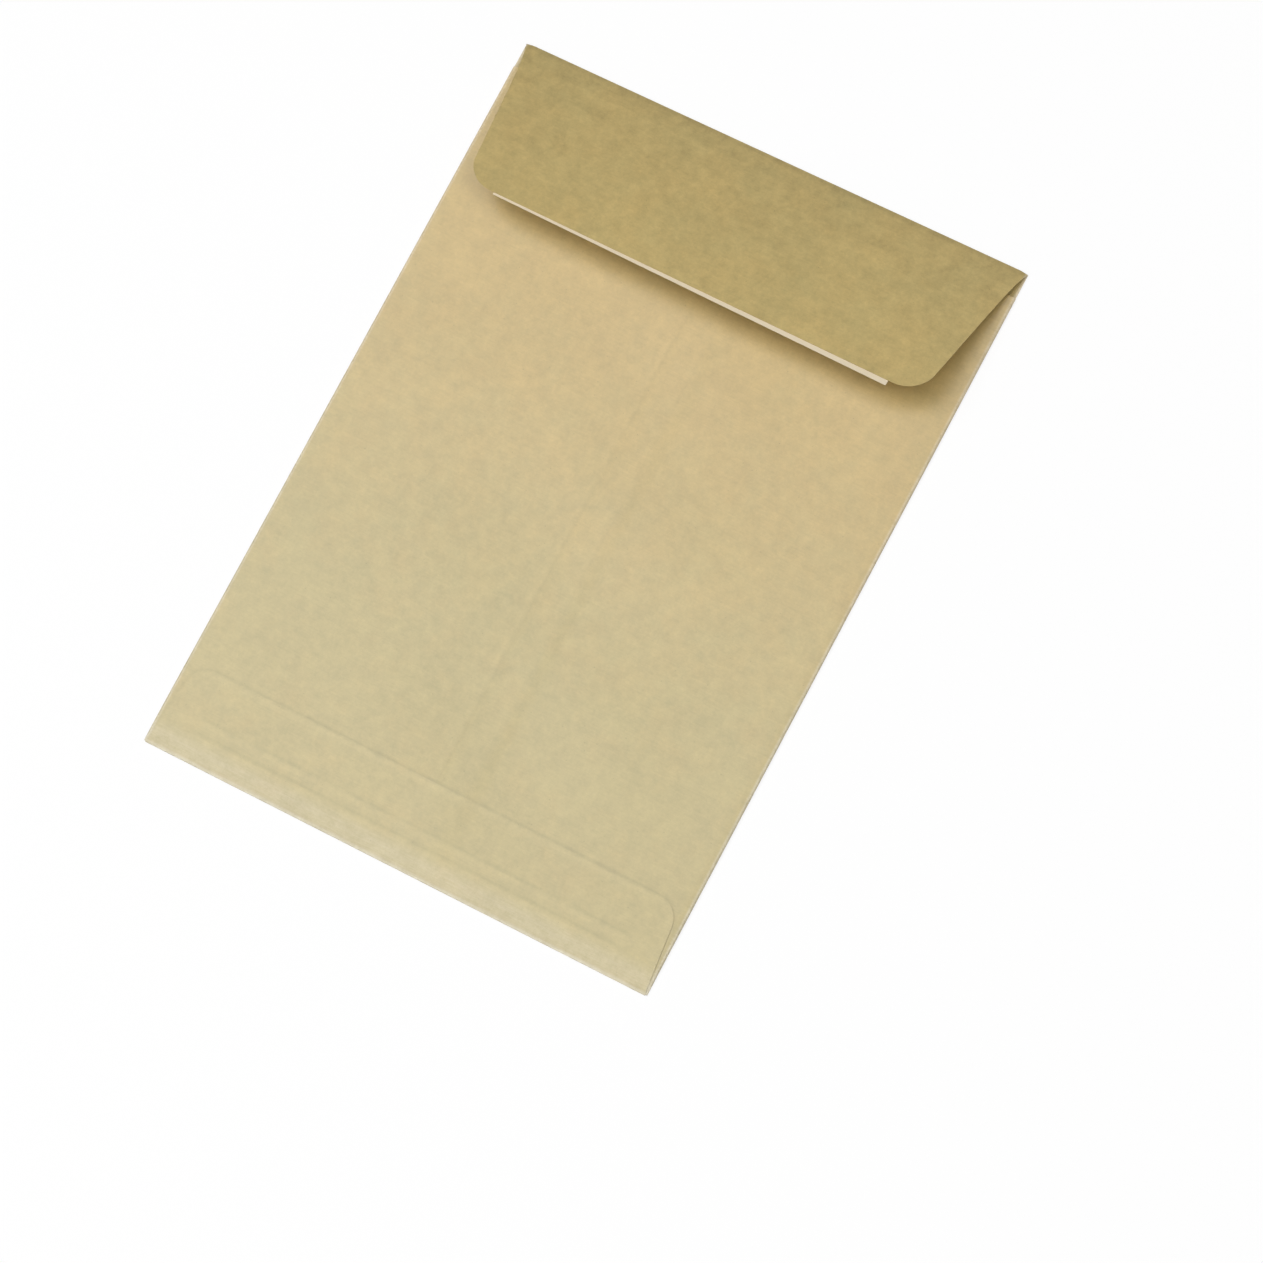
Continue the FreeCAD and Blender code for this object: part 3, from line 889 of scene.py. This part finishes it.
def pocketHollow(x, y, sizes):
    # Height of the hollow between the front panel and the back, in millimetres
    up = y + height / 2
    atFold = sizes["bottomFoldRadius"] * 2 - sizes["thickness"] * 2
    atLower = sizes["pocketGap"] - sizes["lowerCreaseDrop"]
    foldUp = height / 2 - folds["bottom"]["start"]
    if up < sizes["lowerCrease"]:
        share = max(0, (up - foldUp) / (sizes["lowerCrease"] - foldUp))
        hollow = atFold + (atLower - atFold) * (1 - (1 - share) ** sizes["lowRise"])
    else:
        share = min(1, (up - sizes["lowerCrease"]) / (sizes["upperCrease"] - sizes["lowerCrease"]))
        hollow = atLower + (sizes["pocketGap"] - atLower) * share
    across = max(0, 1 - (x / folds["side"]["start"]) ** 2)
    window = smooth(up, *(sizes["upperCrease"] + away for away in sizes["sagWindow"]))
    low = sizes["rippleLow"]
    wave = noise.noise(Vector((x, y, 0)) / sizes["rippleSize"]) * sizes["ripple"]
    hollow += across * (wave * (low + (1 - low) * window) - sizes["sag"] * window)
    creaseEnd = width / 2 - sizes["creaseEnd"]
    ends = 1 - smooth(abs(x), creaseEnd - sizes["creaseEndFade"], creaseEnd)
    for crease in ("lowerCrease", "upperCrease"):
        away = (up - sizes[crease]) / sizes["creaseWidth"]
        hollow += sizes["creaseRidge"] * math.exp(-away * away) * ends
    return hollow


def pressPocket(mesh, sizes):
    # Settles the folded layers onto each other, each one sheet above the last, and marks the back
    half = sizes["thickness"] / 2 * mm
    layers, rises, lifts = (mesh.attributes[name].data for name in ("layer", "fullRise", "lift"))
    step = sizes["thickness"] + sizes["layerGap"]
    backs = []
    for vertex, layer, rise, lift in zip(mesh.vertices, layers, rises, lifts):
        share = (vertex.co.z - half) / rise.value if rise.value > 0 else 0
        if share > 0:
            hollow = pocketHollow(vertex.co.x / mm, vertex.co.y / mm, sizes)
            vertex.co.z = half + share * (hollow + layer.value * step) * mm + lift.value
        backs.append(1 if share > sizes["backShare"] else 0)
    for name in ("layer", "fullRise", "lift"):
        mesh.attributes.remove(mesh.attributes[name])
    mesh.attributes.new("back", "FLOAT", "POINT").data.foreach_set("value", backs)


def makeEnvelope(sizes, material):
    piece = makeBlank(sizes)
    pressPocket(foldBlank(piece, sizes, material), sizes)
    thicken(piece, sizes["thickness"])
    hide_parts("envelope_body")
    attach(piece, "root")


makeEnvelope(envelope, kraft)
print("Envelope folded")

# The adhesive and its liner, cut flat on the flap's inner face and folded over with it. "edge" is how
# far their outer edge lies from the fold, "above" how far they lie off the flap, and "skew" how far
# their middle is drawn back, and their left end twice as far. All in millimetres.
strips = {
    "adhesive": {
        "length": 122.0,
        "width": 15.0,
        "thickness": 0.1,
        "edge": 47.8,
        "above": 0.0,
        "skew": 0.0,
    },
    "liner": {
        "length": 126.0,
        "width": 20.0,
        "thickness": 0.08,
        "edge": 51.15,
        "above": 0.1,
        "skew": 0.5,
    },
}
stripCells = (2.0, 1.0)  # their longest steps along and across


def makeStrip(name, strip, material, node):
    level = envelope["thickness"] + strip["above"] + strip["thickness"] / 2
    start = folds["top"]["start"] + folds["top"]["arc"]
    half, edge = strip["length"] / 2, strip["edge"]
    along, across = stripCells
    columns = steps(-half, half, along) + [half]
    rows = steps(edge - strip["width"], edge, across) + [edge]
    points = []
    for s in rows:
        for x in columns:
            points.append((x * mm, (start + s - strip["skew"] * (1 - x / half)) * mm, level * mm))
    count = len(columns)
    faces = []
    for row in range(len(rows) - 1):
        for column in range(count - 1):
            corner = row * count + column
            faces.append((corner, corner + 1, corner + 1 + count, corner + count))
    mesh = bpy.data.meshes.new(name)
    mesh.from_pydata(points, [], faces)
    piece = addObject(name, mesh)
    foldFlap(piece, material)
    plainMesh(piece)
    thicken(piece, strip["thickness"])
    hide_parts(node)
    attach(piece, "root")


makeStrip("adhesiveStrip", strips["adhesive"], adhesive, "adhesive_strip")
makeStrip("releaseLiner", strips["liner"], linerPaper, "release_liner")
print("Strips laid")

bpy.context.scene.view_settings.view_transform = "Standard"
